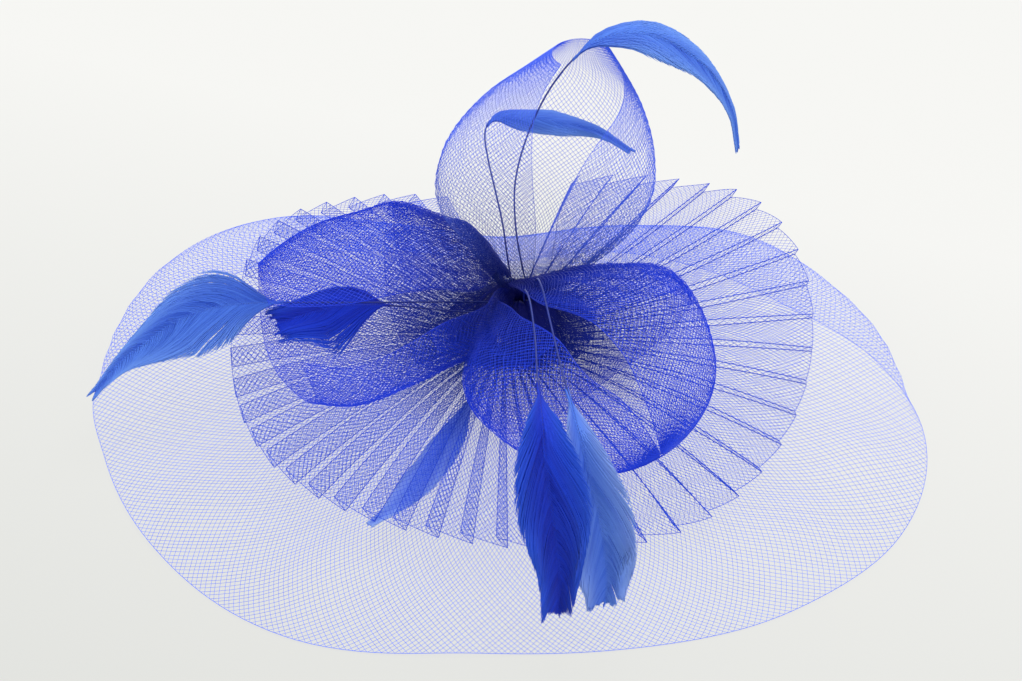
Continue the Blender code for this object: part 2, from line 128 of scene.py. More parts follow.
def veil_points(azimuth, t):
    """The veil's middle surface: t runs from the stitched ring, 0, to the hem, 1."""
    hem, belly, shoulder, lift = np.moveaxis(table_at(VEIL_TABLE, azimuth, 360), -1, 0)
    radii = (SEAT_OUTER, VEIL_SHOULDER * VEIL_REACH, belly * VEIL_REACH, hem * VEIL_REACH)
    heights = (VEIL_SEAT, shoulder * VEIL_LIFT, lift * VEIL_LIFT + HEM_HEIGHT, HEM_HEIGHT)
    weights = ((1 - t)**3, 3 * t * (1 - t)**2, 3 * t**2 * (1 - t), t**3)
    radius = sum(w * r for w, r in zip(weights, radii))
    height = sum(w * h for w, h in zip(weights, heights))
    for centre, place, half_angle, length, rise in VEIL_DENTS:
        turn = (azimuth - centre + 180) % 360 - 180
        height = height + rise * VEIL_LIFT * np.exp(
            -(turn / half_angle)**2 - ((radius / VEIL_REACH - place) / length)**2)
    return from_hub(azimuth, radius, height)


def evened(grid, count):
    """The same grid with count points in each row, at equal steps along the cloth."""
    steps = np.linalg.norm(np.diff(grid, axis=1), axis=2)
    run = np.concatenate([np.zeros((len(grid), 1)), np.cumsum(steps, axis=1)], axis=1)
    rows = []
    for line, far in zip(grid, run):
        wanted = np.linspace(0, far[-1], count)
        rows.append(np.stack([np.interp(wanted, far, line[:, k]) for k in range(3)], axis=1))
    return np.array(rows)


def on_grid(grid, u, v, closed):
    """Points of a cloth given as a grid, at shares u along it and v across it."""
    rows, columns = grid.shape[:2]
    x = (u % 1.0) * rows if closed else np.clip(u, 0, 1) * (rows - 1)
    y = np.clip(v, 0, 1) * (columns - 1)
    i = np.floor(x).astype(int)
    i = i % rows if closed else np.minimum(i, rows - 2)
    k = np.minimum(np.floor(y).astype(int), columns - 2)
    a = (x - np.floor(x) if closed else x - i)[:, None]
    b = (y - k)[:, None]
    j = (i + 1) % rows
    return ((1 - a) * (1 - b) * grid[i, k] + a * (1 - b) * grid[j, k]
            + (1 - a) * b * grid[i, k + 1] + a * b * grid[j, k + 1])


def thread_maker():
    """Geometry Nodes that lay a round or flat thread along every run of edges."""
    tree = bpy.data.node_groups.new("threads", "GeometryNodeTree")
    sockets = tree.interface
    sockets.new_socket("Runs", in_out="INPUT", socket_type="NodeSocketGeometry")
    names = {}
    for name, kind in (("Thickness", "NodeSocketFloat"), ("Flatness", "NodeSocketFloat"),
                       ("Finish", "NodeSocketMaterial")):
        names[name] = sockets.new_socket(name, in_out="INPUT", socket_type=kind).identifier
    sockets.new_socket("Threads", in_out="OUTPUT", socket_type="NodeSocketGeometry")
    add, link = tree.nodes.new, tree.links.new
    given, out = add("NodeGroupInput"), add("NodeGroupOutput")
    runs = add("GeometryNodeMeshToCurve")
    girth = add("GeometryNodeInputNamedAttribute")
    girth.data_type = "FLOAT"
    girth.inputs["Name"].default_value = "girth"
    normal = add("GeometryNodeSetCurveNormal")
    normal.mode = "Z_UP"
    section = add("GeometryNodeCurvePrimitiveCircle")
    section.inputs["Resolution"].default_value = 3
    half = add("ShaderNodeMath")
    half.operation = "MULTIPLY"
    half.inputs[1].default_value = 0.5
    scale = add("ShaderNodeCombineXYZ")
    scale.inputs["X"].default_value = 1.0
    scale.inputs["Z"].default_value = 1.0
    flatten = add("GeometryNodeTransform")
    sweep = add("GeometryNodeCurveToMesh")
    sweep.inputs["Fill Caps"].default_value = True
    finish, real = add("GeometryNodeSetMaterial"), add("GeometryNodeRealizeInstances")
    link(given.outputs["Runs"], runs.inputs["Mesh"])
    link(runs.outputs["Curve"], normal.inputs["Curve"])
    link(given.outputs["Thickness"], half.inputs[0])
    link(half.outputs["Value"], section.inputs["Radius"])
    link(given.outputs["Flatness"], scale.inputs["Y"])
    link(section.outputs["Curve"], flatten.inputs["Geometry"])
    link(scale.outputs["Vector"], flatten.inputs["Scale"])
    link(normal.outputs["Curve"], sweep.inputs["Curve"])
    link(flatten.outputs["Geometry"], sweep.inputs["Profile Curve"])
    link(girth.outputs["Attribute"], sweep.inputs["Scale"])
    link(sweep.outputs["Mesh"], finish.inputs["Geometry"])
    link(given.outputs["Finish"], finish.inputs["Material"])
    link(finish.outputs["Geometry"], real.inputs["Geometry"])
    link(real.outputs["Geometry"], out.inputs["Threads"])
    return tree, names


THREADS, THREAD_INPUTS = thread_maker()


def threads(name, runs, thickness, finish, flatness=1.0):
    """One piece of many threads. A run is its points about the hub, each with girth, tone and reach."""
    points = np.concatenate([run[0] for run in runs]) + HUB
    extra = {key: np.concatenate([np.broadcast_to(run[1].get(key, 1.0), len(run[0])) for run in runs])
             for key in ("girth", "tone", "reach")}
    ends = np.cumsum([len(run[0]) for run in runs])
    starts = np.arange(len(points) - 1)
    starts = starts[~np.isin(starts, ends - 1)]
    mesh = bpy.data.meshes.new(name)
    mesh.vertices.add(len(points))
    mesh.vertices.foreach_set("co", points.astype(np.float32).ravel())
    mesh.edges.add(len(starts))
    mesh.edges.foreach_set("vertices", np.stack([starts, starts + 1], axis=1).astype(np.int32).ravel())
    for key, values in extra.items():
        layer = mesh.attributes.new(key, "FLOAT", "POINT")
        layer.data.foreach_set("value", values.astype(np.float32))
    piece = bpy.data.objects.new(name, mesh)
    bpy.context.scene.collection.objects.link(piece)
    maker = piece.modifiers.new("threads", "NODES")
    maker.node_group = THREADS
    maker[THREAD_INPUTS["Thickness"]] = thickness
    maker[THREAD_INPUTS["Flatness"]] = flatness
    maker[THREAD_INPUTS["Finish"]] = finish
    made = bpy.data.meshes.new_from_object(piece.evaluated_get(bpy.context.evaluated_depsgraph_get()))
    piece.modifiers.clear()
    piece.data = made
    made.shade_smooth()
    return piece


class Shade:
    """An output of a material's nodes, or a plain value, that can be reckoned with."""

    def __init__(self, tree, socket):
        self.tree, self.socket = tree, socket

    def node(self, kind, settings=None, outlet=0, **inputs):
        made = self.tree.nodes.new(kind)
        for key, value in (settings or {}).items():
            setattr(made, key, value)
        for key, value in inputs.items():
            socket = made.inputs[int(key[1:]) if key[0] == "_" else key.replace("_", " ")]
            if isinstance(value, Shade):
                self.tree.links.new(value.socket, socket)
            else:
                socket.default_value = value
        return Shade(self.tree, made.outputs[outlet])

    def math(self, operation, a, b):
        return self.node("ShaderNodeMath", {"operation": operation}, _0=a, _1=b)

    def __add__(self, other):
        return self.math("ADD", self, other)

    def __mul__(self, other):
        return self.math("MULTIPLY", self, other)

    def __pow__(self, other):
        return self.math("POWER", self, other)

    __radd__ = __add__

    def between(self, low, high):
        """Two colours mixed by this value."""
        return self.node("ShaderNodeMix", {"data_type": "RGBA"}, outlet=2, _0=self, _6=low, _7=high)


def finish_named(name, roughness=0.5):
    """A material with its Principled node and a Shade to start from."""
    material = bpy.data.materials.new(name)
    material.use_nodes = True
    tree = material.node_tree
    body = tree.nodes["Principled BSDF"]
    body.inputs["Roughness"].default_value = roughness
    place = Shade(tree, tree.nodes.new("ShaderNodeTexCoord").outputs["Object"])
    return material, body, place


# Painted shade round the bunch: its centre, how far it reaches, and the colour it darkens the net to.
BUNCH_EYE = tuple(HUB + (0.0065, 0.0020, 0.0460))
BUNCH_SHADE = 0.072        # how far from the bunch's eye the shade of its tucks reaches
BUNCH_SHADE_COLOUR = (0.003, 0.004, 0.13, 1)


def braid_finish(name, deep, bright, painted_glow):
    """Nylon thread: clear dyed blue, each thread a little deeper or brighter, with painted shade at the
    bunch.
    """
    material, body, place = finish_named(name)
    tone = place.node("ShaderNodeAttribute", {"attribute_name": "tone"}, outlet=2)
    cloud = place.node("ShaderNodeTexNoise", Vector=place, Scale=22.0, Detail=2.0)
    colour = (tone * 0.6 + cloud * 0.4).between((*deep, 1), (*bright, 1))
    # Painted shade: close to the bunch's eye the colour darkens to a near-black blue.
    away = place.node("ShaderNodeVectorMath", {"operation": "DISTANCE"}, outlet=1, _0=place, _1=BUNCH_EYE)
    clear = place.node("ShaderNodeMapRange", _0=away, _1=0.004, _2=BUNCH_SHADE) ** 1.3
    colour = clear.between(BUNCH_SHADE_COLOUR, colour)
    place.tree.links.new(colour.socket, body.inputs["Base Color"])
    grain = place.node("ShaderNodeTexNoise", Vector=place, Scale=900.0, Detail=1.0)
    rough = 0.30 + grain * 0.22
    place.tree.links.new(rough.socket, body.inputs["Roughness"])
    body.inputs["Specular IOR Level"].default_value = 0.2
    # Painted glow: emission for the light that comes through the clear nylon; it fades in the painted
    # shade.
    light = clear.between((0.0, 0.0, 0.0, 1), (*painted_glow, 1))
    place.tree.links.new(light.socket, body.inputs["Emission Color"])
    body.inputs["Emission Strength"].default_value = 1.0
    return material


# The veil has the strongest painted glow, for light through the thin net over the white table.
VEIL_FINISH = braid_finish("veil_braid", (0.03, 0.09, 0.72), (0.11, 0.22, 0.95), (0.00, 0.03, 0.28))

azimuths = np.arange(0, 360, 2.0)
shares = np.linspace(0, 1, 90)
veil_cloth = veil_points(azimuths[:, None], shares[None, :])
inner = from_hub(azimuths, SEAT_INNER, VEIL_SEAT)[:, None, :]
veil_cloth = evened(np.concatenate([inner, veil_cloth], axis=1), VEIL_COLUMNS)
girdle = max(np.linalg.norm(np.roll(veil_cloth, -1, axis=0)[:, k] - veil_cloth[:, k], axis=1).sum()
             for k in range(VEIL_COLUMNS))
count = round(girdle * math.sin(BIAS) / MESH_PITCH)
rng = np.random.default_rng(11)
veil_runs = {-1: [], 1: []}
for way in veil_runs:
    for n in range(count):
        start = (n + rng.uniform(-0.10, 0.10)) / count
        lean = np.linspace(LEAST_LEAN, BIAS, 30)
        across = np.sin(lean) / math.sin(BIAS)
        run = on_grid(veil_cloth, start + way * lean / math.tau, across, True)
        run[:, 2] += way * THREAD * CROSSING
        # Finer where the threads crowd at the middle, and they look finer where light comes through them
        lit = 0.5 + 0.5 * np.cos(math.tau * start + way * lean - LIT_SIDE)
        girth = (0.65 + 0.35 * np.minimum(1, across / 0.7)) * (1.02 - 0.16 * lit)
        veil_runs[way].append((run, {"tone": rng.uniform(0, 1), "girth": girth}))
hem = on_grid(veil_cloth, np.linspace(0, 1, 361), np.ones(361), True)
veil_runs[1].append((hem, {"tone": 0.3, "girth": 1.3}))

for way, name in ((-1, "veil_left_bias"), (1, "veil_right_bias")):
    veil = threads(name, veil_runs[way], THREAD, VEIL_FINISH)
    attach(veil, "root")
    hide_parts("veil")


# The pleated disc. The same braid is folded into knife pleats that all lean one way round and is stitched
# down flat at the middle. Each pleat keeps its full width, so that the folds cover each other more and
# more towards the middle, and the rim steps from fold to fold. A V is left open at the back.
DISC_REACH = 0.1280        # hub to the furthest point of the rim
DISC_LIFT = 0.0500         # height of the rim's highest point
DISC_CROWN = 0.0020        # how far the band bulges between the hub and the rim
DISC_SEAT = VEIL_SEAT + NET_WALL + SEAT_GAP
DISC_DROP_POWER = 1.4      # how late the band bends down where its rim is low
DISC_CLIMB_POWER = 2.0     # and up where its rim is high
PLEAT_PITCH = 7.2          # degrees
PLEAT_COUNT = 46
PLEAT_DEPTH = 0.0036       # of a pleat in the frame's solid
PLEAT_LEAN = 0.10          # share of a pitch from the valley to the ridge that overhangs it
PLEATS_OPEN_BY = 0.6       # share of the way out by which the pleats have their full depth
V_START = 102.0            # azimuth of the left edge of the V-shaped gap at the back
PLEAT_RADIUS = 0.1180      # where the pleats are measured
PLEAT_SLOPE = 0.0050       # how far a pleat's far side dips below its ridge at the rim
PLEAT_LEAST = 0.0008       # and where it is stitched down
BAND_INNER = 0.0035        # radius of the gathering thread at the band's inner selvedge
DISC_THREAD = 0.00019
FOLD_GIRTH = 1.12          # girth of a thread where it bends round a fold
BESIDE_FOLD = 1e-5         # turn that keeps a thread along a fold on its own face of the pleat
# Girths at shares of the way round the band: of threads between two pleats, and along the creases.
OPEN_GIRTH = (0.50, 0.68, 0.82, 0.95), (0.94, 0.68, 0.72, 0.98)
CREASE_GIRTH = (0.50, 0.68), (1.7, 2.3)

DISC_TABLE = [
    # azimuth, reach, height
    (-258, 0.945, 0.30),
    (-245, 0.940, 0.46),
    (-232, 0.935, 0.60),
    (-218, 0.930, 0.74),
    (-205, 0.915, 0.78),
    (-192, 0.890, 0.66),
    (-180, 0.880, 0.50),
    (-170, 0.870, 0.36),
    (-150, 0.850, 0.27),
    (-130, 0.830, 0.30),
    (-110, 0.828, 0.35),
    (-92, 0.840, 0.34),
    (-78, 0.845, 0.26),
    (-63, 0.865, 0.19),
    (-50, 0.900, 0.20),
    (-35, 0.925, 0.28),
    (-20, 0.950, 0.42),
    (-8, 0.970, 0.56),
    (5, 0.990, 0.74),
    (17, 1.000, 0.90),
    (27, 1.000, 0.97),
    (38, 1.000, 0.92),
    (48, 1.000, 0.78),
    (60, 0.985, 0.66),
    (73, 0.960, 0.54),
]
UNDERCUT_TABLE = [
    # azimuth, how far a pleat runs under the next one at PLEAT_RADIUS, in millimetres
    (-258, 3.4),
    (-215, 3.6),
    (-180, 4.6),
    (-150, 5.6),
    (-120, 5.6),
    (-95, 4.4),
    (-75, 3.7),
    (-40, 3.0),
    (0, 2.5),
    (40, 2.8),
    (73, 3.6),
]
PLEAT_ANGLE = math.radians(PLEAT_PITCH)
pleat_azimuths = V_START - 360 + np.arange(PLEAT_COUNT) * PLEAT_PITCH
undercuts = table_at(UNDERCUT_TABLE, pleat_azimuths)[:, 0] / 1000
pleat_turns = PLEAT_ANGLE + 2 * undercuts / PLEAT_RADIUS
pleat_starts = np.concatenate([[0], np.cumsum(pleat_turns)])


def disc_points(azimuth, share):
    """The radius and height of the disc's middle surface, before pleating."""
    inside = np.clip(azimuth, DISC_TABLE[0][0], DISC_TABLE[-1][0])
    reach, height = np.moveaxis(table_at(DISC_TABLE, inside), -1, 0)
    out = np.maximum(share, 0)
    radius = SEAT_OUTER + (reach * DISC_REACH - SEAT_OUTER) * share
    climb = height * DISC_LIFT - DISC_SEAT
    power = np.where(climb > 0, DISC_CLIMB_POWER, DISC_DROP_POWER)
    return radius, DISC_SEAT + climb * out**power + DISC_CROWN * 4 * out * (1 - out)


def pleated(turn, share):
    """Where a point of the gathered band, at a turn round it and a share out, lies once it is pleated."""
    pleat = np.clip(np.searchsorted(pleat_starts, turn, side="right") - 1, 0, PLEAT_COUNT - 1)
    x = turn - pleat_starts[pleat]
    top = (pleat_turns[pleat] + PLEAT_ANGLE) / 2
    on_top = x <= top
    offset = np.where(on_top, x, 2 * top - x)
    fall = np.where(on_top, x / top, 1 - (x - top) / (pleat_turns[pleat] - top))
    azimuth = V_START - 360 + (pleat + PLEAT_LEAN) * PLEAT_PITCH + np.degrees(offset)
    radius, height = disc_points(azimuth, share)
    depth = np.maximum(PLEAT_LEAST, PLEAT_SLOPE * np.minimum(1, share / PLEATS_OPEN_BY))
    return from_hub(azimuth, radius, height + depth * (0.5 - fall))


# The disc's colours are a darker copy of the veil's: painted shade where the pleats lie over each other.
DISC_SHADED_BRAID = braid_finish("disc_braid", (0.012, 0.045, 0.54), (0.05, 0.13, 0.88), (0.0, 0.015, 0.13))
least_lean = math.asin(BAND_INNER / PLEAT_RADIUS * math.sin(BIAS))
step = MESH_PITCH / math.sin(BIAS) / PLEAT_RADIUS
under_folds = pleat_starts[:-1] + (pleat_turns + PLEAT_ANGLE) / 2
rng = np.random.default_rng(23)
disc_runs = {-1: [], 1: []}
for way in disc_runs:
    for start in np.arange(-BIAS, pleat_starts[-1] + BIAS, step):
        start = start + rng.uniform(-0.1, 0.1) * step
        folds = way * (np.concatenate([pleat_starts, under_folds]) - start)
        lean = np.unique(np.concatenate([np.linspace(least_lean, BIAS, 20), folds]))
        lean = lean[(lean >= least_lean) & (lean <= BIAS)]
        turn = start + way * lean
        kept = (turn >= 0) & (turn <= pleat_starts[-1])
        if kept.sum() < 2:
            continue
        radius = PLEAT_RADIUS * np.sin(lean[kept]) / math.sin(BIAS)
        run = pleated(turn[kept], (radius - SEAT_OUTER) / (PLEAT_RADIUS - SEAT_OUTER))
        run[:, 2] += way * DISC_THREAD * CROSSING
        open_girth = np.interp(turn[kept] / pleat_starts[-1], *OPEN_GIRTH)
        girth = np.where(np.isin(lean[kept], folds), FOLD_GIRTH, open_girth)
        disc_runs[way].append((run, {"tone": rng.uniform(0, 1), "girth": girth}))
for first, fold, last in zip(pleat_starts, under_folds, pleat_starts[1:]):
    for low, high in ((first, fold), (fold, last)):
        rim = np.linspace(low + BESIDE_FOLD, high - BESIDE_FOLD, 6)
        disc_runs[1].append((pleated(rim, np.ones(6)), {"tone": 0.25, "girth": 1.4}))
    # A thread along each crease, in the deepest tone: painted shade in the folds.
    for crease in (first + BESIDE_FOLD, fold):
        out_share = np.linspace(0.05, 1, 14)
        run = pleated(np.full(14, crease), out_share)
        girth = np.interp(crease / pleat_starts[-1], *CREASE_GIRTH)
        disc_runs[1].append((run, {"tone": 0.0, "girth": girth}))

for way, name in ((-1, "disc_left_bias"), (1, "disc_right_bias")):
    disc = threads(name, disc_runs[way], DISC_THREAD, DISC_SHADED_BRAID)
    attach(disc, "root")
    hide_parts("pleated_disc")


# The rolled loops. Each is a length of the braid stood on edge and rolled into a pouch whose ends meet in
# the middle bunch, where its threads run together. Its two free edges leave a slit, and a selvedge runs
# along each of them.
GATHER_RADIUS = 0.0105     # the bunched ends of the loops
GATHER_HEIGHT = 0.0200
GATHER_RIGHT = 0.0060      # the bunch sits a little right of the hub and behind it
GATHER_BEHIND = 0.0020
GATHER_BOTTOM = DISC_SEAT + NET_WALL / 2 + SEAT_GAP
ROOT_GAP = 0.0005          # from the bunch's side to the end of a loop or stem that starts there
LOOP_AROUND = 200          # points of a loop's cloth from one free edge round to the other
LOOP_ALONG = 80            # and from the bunch out to its tip
LOOP_RIPPLE = 0.0008       # height of the gathers' ripples
FAR_TRIM = 0.3             # how much the tip's far side is cut back, as a share of its near side's trim
ROLLS = {
    # layers: how far out each turn of the band reaches; pull: how far its end is drawn over the bunch to
    # the eye; trim: how far back the tip's rim is cut on its near side, as a share of length.
    # Sections: along as a share of length, width and depth as shares of across, rise and drift as shares
    # of length, and the slit's two sides as angles from the top of the section (its front in loop_top)
    "loop_top": dict(azimuth=90, elevation=90, roll=0, root=(90, 0.5, 1.0), length=0.080, across=0.0430,
                     layers=(1.0,), pull=(0.000, -0.003, -0.003), trim=0.0, thread=0.00018, sections=[
                         (0.00, 0.13, 0.12, 0.00, 0.00, -12, 12),
                         (0.15, 0.58, 0.42, -0.10, -0.09, -7, 7),
                         (0.35, 0.98, 0.70, -0.22, -0.12, -5, 5),
                         (0.55, 1.00, 0.75, -0.34, -0.14, -8, 8),
                         (0.75, 0.78, 0.62, -0.46, -0.20, -27, 20),
                         (0.90, 0.48, 0.42, -0.54, -0.27, -74, 38),
                         (1.00, 0.28, 0.28, -0.58, -0.31, -100, 45)]),
    "loop_left": dict(azimuth=194, elevation=2, roll=0, root=(194, 1.0, 0.74), length=0.094, across=0.0540,
                      layers=(1.0, 0.50), pull=(0.007, 0.004, 0.003), trim=0.14, thread=0.00023, sections=[
                          (0.00, 0.16, 0.14, 0.02, -0.03, 20, 60),
                          (0.05, 0.52, 0.22, 0.04, -0.15, 30, 50),
                          (0.12, 0.74, 0.27, 0.06, -0.11, 34, 50),
                          (0.30, 0.92, 0.40, 0.10, -0.10, 34, 58),
                          (0.50, 0.95, 0.43, 0.11, -0.02, 30, 64),
                          (0.70, 0.96, 0.42, 0.11, 0.04, 26, 66),
                          (0.87, 0.83, 0.35, 0.08, 0.04, 18, 60),
                          (1.00, 0.66, 0.27, 0.05, 0.03, 5, 50)]),
    "loop_right": dict(azimuth=-60, elevation=2, roll=12, root=(-60, 1.02, 0.74), length=0.090,
                       across=0.0500, layers=(1.0, 0.50), pull=(-0.008, 0.006, 0.004), trim=0.0,
                       thread=0.00023, sections=[
                           (0.00, 0.20, 0.16, 0.02, 0.00, -40, -4),
                           (0.12, 0.66, 0.30, 0.06, 0.02, -25, -9),
                           (0.30, 0.96, 0.42, 0.10, 0.02, -21, -9),
                           (0.52, 0.97, 0.44, 0.09, 0.01, -15, 2),
                           (0.75, 0.84, 0.40, 0.05, 0.00, -16, 6),
                           (0.89, 0.65, 0.31, 0.01, 0.00, -10, 4),
                           (0.97, 0.37, 0.17, -0.04, 0.00, -8, 3),
                           (1.00, 0.02, 0.01, -0.09, 0.00, -6, 3)]),
}


def root_point(azimuth, share, up):
    """Where a loop or a stem starts on the bunch."""
    sideways = 0.0 if up == 1 else ROOT_GAP
    upwards = SEAT_GAP + NET_WALL / 2 if up == 1 else 0.0
    height = GATHER_BOTTOM + up * GATHER_HEIGHT + upwards
    return from_hub(azimuth, share * GATHER_RADIUS + sideways, height) + (GATHER_RIGHT, GATHER_BEHIND, 0.0)


def set_off(grid, gap):
    """The same cloth a gap further out along its own normals."""
    normals = np.cross(np.gradient(grid, axis=0), np.gradient(grid, axis=1))
    length = np.maximum(np.linalg.norm(normals, axis=2, keepdims=True), 1e-9)
    return grid + normals / length * np.asarray(gap)[..., None]


def ripple(turn, waves):
    """Soft folds round a gathered band, from each wave's count, start and height."""
    return sum(height * np.sin(count * turn + start) for count, start, height in waves)


def roll_cloth(row):
    """A rolled loop's cloth as a grid: round it from one free edge to the other, and out along it.

    The gathers run out from its root as soft ripples, which fade towards the tip.
    """
    a, e, r = (math.radians(row[key]) for key in ("azimuth", "elevation", "roll"))
    out = np.array([math.cos(e) * math.cos(a), math.cos(e) * math.sin(a), math.sin(e)])
    level = np.array([-math.sin(a), math.cos(a), 0.0])
    side = math.cos(r) * level + math.sin(r) * np.cross(out, level)
    front = np.cross(out, side)
    around = np.linspace(0, 1, LOOP_AROUND)[:, None]
    first, last = row["sections"][-1][-2:]
    rim_angle = np.radians(first - (360 + first - last) * around)
    near, far = (1 + np.sin(rim_angle)) / 2, (1 - np.sin(rim_angle)) / 2
    along = np.linspace(0, 1, LOOP_ALONG) * (1 - row["trim"] * (near**3 + FAR_TRIM * far**3))
    width, depth, rise, drift, first, last = np.moveaxis(table_at(row["sections"], along), -1, 0)
    angle = np.radians(first - (360 + first - last) * around)
    sideways = drift * row["length"] + width * row["across"] * np.sin(angle)
    forward = rise * row["length"] + depth * row["across"] * np.cos(angle)
    drawn = np.maximum(0, 1 - along / 0.30)**2
    grid = (root_point(*row["root"]) + np.array(row["pull"]) * drawn[..., None]
            + out * (along * row["length"])[..., None] + side * sideways[..., None]
            + front * forward[..., None])
    wave = ripple(math.tau * around, ((13, 0.6, 1.0), (23, 2.1 + 3 * along, 0.7), (37, 4.0, 0.5)))
    swell = LOOP_RIPPLE * np.sin(math.pi * np.minimum(1, along / 0.24) / 2) * (1 - along)**1.5
    grid = set_off(grid, wave * swell)
    grid = np.swapaxes(evened(np.swapaxes(grid, 0, 1), LOOP_AROUND), 0, 1)
    return evened(grid, LOOP_ALONG)


def bias_runs(grid, pitch, rng, lift):
    """Threads on the bias over a band that is gathered where its grid is narrow, cut at its free edges."""
    rows, columns = grid.shape[:2]
    girths = np.linalg.norm(np.diff(grid, axis=0), axis=2).sum(axis=0)
    lengths = np.linalg.norm(np.diff(grid, axis=1), axis=2).mean(axis=0)
    lean = np.arcsin(girths / girths.max() * math.sin(BIAS))
    slope = np.tan(lean) / girths
    drift = np.concatenate([[0], np.cumsum((slope[1:] + slope[:-1]) / 2 * lengths)])
    count = round(girths.max() * math.sin(BIAS) / pitch)
    spread = int(math.ceil(drift[-1] * count))
    v = np.linspace(0, 1, 34)
    drift = np.interp(v, np.linspace(0, 1, columns), drift)
    runs = []
    for way in (-1, 1):
        for n in range(-spread, count + spread + 1):
            u = (n + rng.uniform(-0.1, 0.1)) / count + way * drift
            inside = (u >= 0) & (u <= 1)
            if inside.sum() < 2:
                continue
            first, last = np.flatnonzero(inside)[[0, -1]]
            uu, vv = list(u[first:last + 1]), list(v[first:last + 1])
            for at, beyond in ((first, first - 1), (last, last + 1)):
                if 0 <= beyond < len(u):
                    rim = 0.0 if u[beyond] < 0 else 1.0
                    t = (rim - u[at]) / (u[beyond] - u[at])
                    end = 0 if beyond < at else len(uu)
                    uu.insert(end, rim)
                    vv.insert(end, v[at] + t * (v[beyond] - v[at]))
            run = on_grid(grid, np.array(uu), np.array(vv), False)
            run[:, 2] += way * lift
            runs.append((run, {"tone": rng.uniform(0, 1)}))
    return runs


LOOP_PITCH = 0.0015
LOOP_THREAD = 0.00023
LAYER_GAP = 0.0010         # from one turn of the band to the next
# Each finish has a deep and a bright colour, and a painted glow for the light that comes through the net.
# The lower loops' colours are a darker copy of the top loop's: painted shade in the layered, rolled net.
LOOP_SHADED_BRAID = braid_finish("loop_braid", (0.006, 0.029, 0.60), (0.034, 0.092, 0.93), (0.0, 0.006, 0.09))
TOP_FINISH = braid_finish("top_loop_braid", (0.05, 0.10, 0.70), (0.13, 0.22, 0.94), (0.0, 0.02, 0.17))
rng = np.random.default_rng(37)
for name, row in ROLLS.items():
    cloth = roll_cloth(row)
    for layer, reach in enumerate(row["layers"]):
        laid = set_off(cloth, np.full(cloth.shape[:2], -LAYER_GAP * layer))
        laid = laid[:, :round(LOOP_ALONG * reach)]
        runs = bias_runs(laid, LOOP_PITCH, rng, LOOP_THREAD * CROSSING)
        line = np.linspace(0, 1, 60)
        for share in (0.0, 1.0):
            runs.append((on_grid(laid, np.full(60, share), line, False), {"tone": 0.2, "girth": 1.4}))
        runs.append((on_grid(laid, line, np.ones(60), False), {"tone": 0.2, "girth": 1.0}))
        finish = TOP_FINISH if name == "loop_top" else LOOP_SHADED_BRAID
        loop = threads(f"{name}_net_{layer + 1}", runs, row["thread"], finish)
        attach(loop, "root")
        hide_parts(name)


# The gathered centre, the bunch where all the bands' ends are drawn together and stitched. It is many
# tight tucks of the same braid on edge, so dense that it reads as dark cloth, with a dark eye in its top.
# Its near-black colour is partly that density and partly painted shade for the deep tucks.
# The last of the net spreads from the eye over the bunch's shoulder and covers the stitching.
BUNCH_TUCKS = 34
BUNCH_TURN = 12            # degrees that the tucks turn on their way up
bunch_steps = BUNCH_TUCKS * 8
rng = np.random.default_rng(41)
tuck_depth = rng.uniform(0.0006, 0.0016, BUNCH_TUCKS)
tuck_swirl = rng.uniform(-0.25, 0.25, BUNCH_TUCKS)
rings = [
    # share of GATHER_RADIUS, share of GATHER_HEIGHT
    (0.50, 0.00),
    (0.84, 0.02),
    (0.84, 0.22),
    (0.84, 0.45),
    (0.80, 0.62),
    (0.70, 0.73),
    (0.56, 0.77),
    (0.42, 0.75),
    (0.30, 0.68),
    (0.12, 0.60),
]
verts, faces = [], []
for share, up in rings:
    for i in range(bunch_steps):
        turn = i / bunch_steps * BUNCH_TUCKS
        tuck = int(turn) % BUNCH_TUCKS
        swell = abs(math.sin(math.pi * (turn - int(turn)))) ** 0.6
        pull = tuck_depth[tuck] * (1 - swell) * min(1, share / 0.5)
        azimuth = 360 * (i / bunch_steps) + BUNCH_TURN * up + tuck_swirl[tuck] * up * 8
        point = from_hub(azimuth, share * GATHER_RADIUS - pull, GATHER_BOTTOM + up * GATHER_HEIGHT)
        verts.append(point + (GATHER_RIGHT, GATHER_BEHIND, 0.0) + HUB)
for level in range(len(rings) - 1):
    for i in range(bunch_steps):
        j = (i + 1) % bunch_steps
        a, b = level * bunch_steps, (level + 1) * bunch_steps
        faces.append((a + i, a + j, b + j, b + i))
faces.append(tuple(reversed(range(bunch_steps))))
faces.append(tuple(range((len(rings) - 1) * bunch_steps, len(rings) * bunch_steps)))
mesh = bpy.data.meshes.new("bunch")
mesh.from_pydata([tuple(v) for v in verts], [], faces)
mesh.shade_smooth()
bunch = bpy.data.objects.new("bunch", mesh)
bpy.context.scene.collection.objects.link(bunch)
BUNCH_SHADED_BRAID, body, place = finish_named("bunched_braid", 0.5)
weave = place.node("ShaderNodeTexWave", {"wave_type": "BANDS", "bands_direction": "DIAGONAL"}, outlet=1,
                   Vector=place, Scale=900.0, Distortion=3.0, Detail=1.0)
cloud = place.node("ShaderNodeTexNoise", Vector=place, Scale=160.0, Detail=3.0)
# Near-black blue over the woven bands: painted shade for the tight tucks.
colour = (weave * 0.5 + cloud * 0.5).between((0.003, 0.003, 0.07, 1), (0.014, 0.018, 0.26, 1))
place.tree.links.new(colour.socket, body.inputs["Base Color"])
bump = place.node("ShaderNodeBump", Strength=0.6, Distance=0.0004, Height=weave)
place.tree.links.new(bump.socket, body.inputs["Normal"])
mesh.materials.append(BUNCH_SHADED_BRAID)
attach(bunch, "root")
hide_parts("gathered_centre")

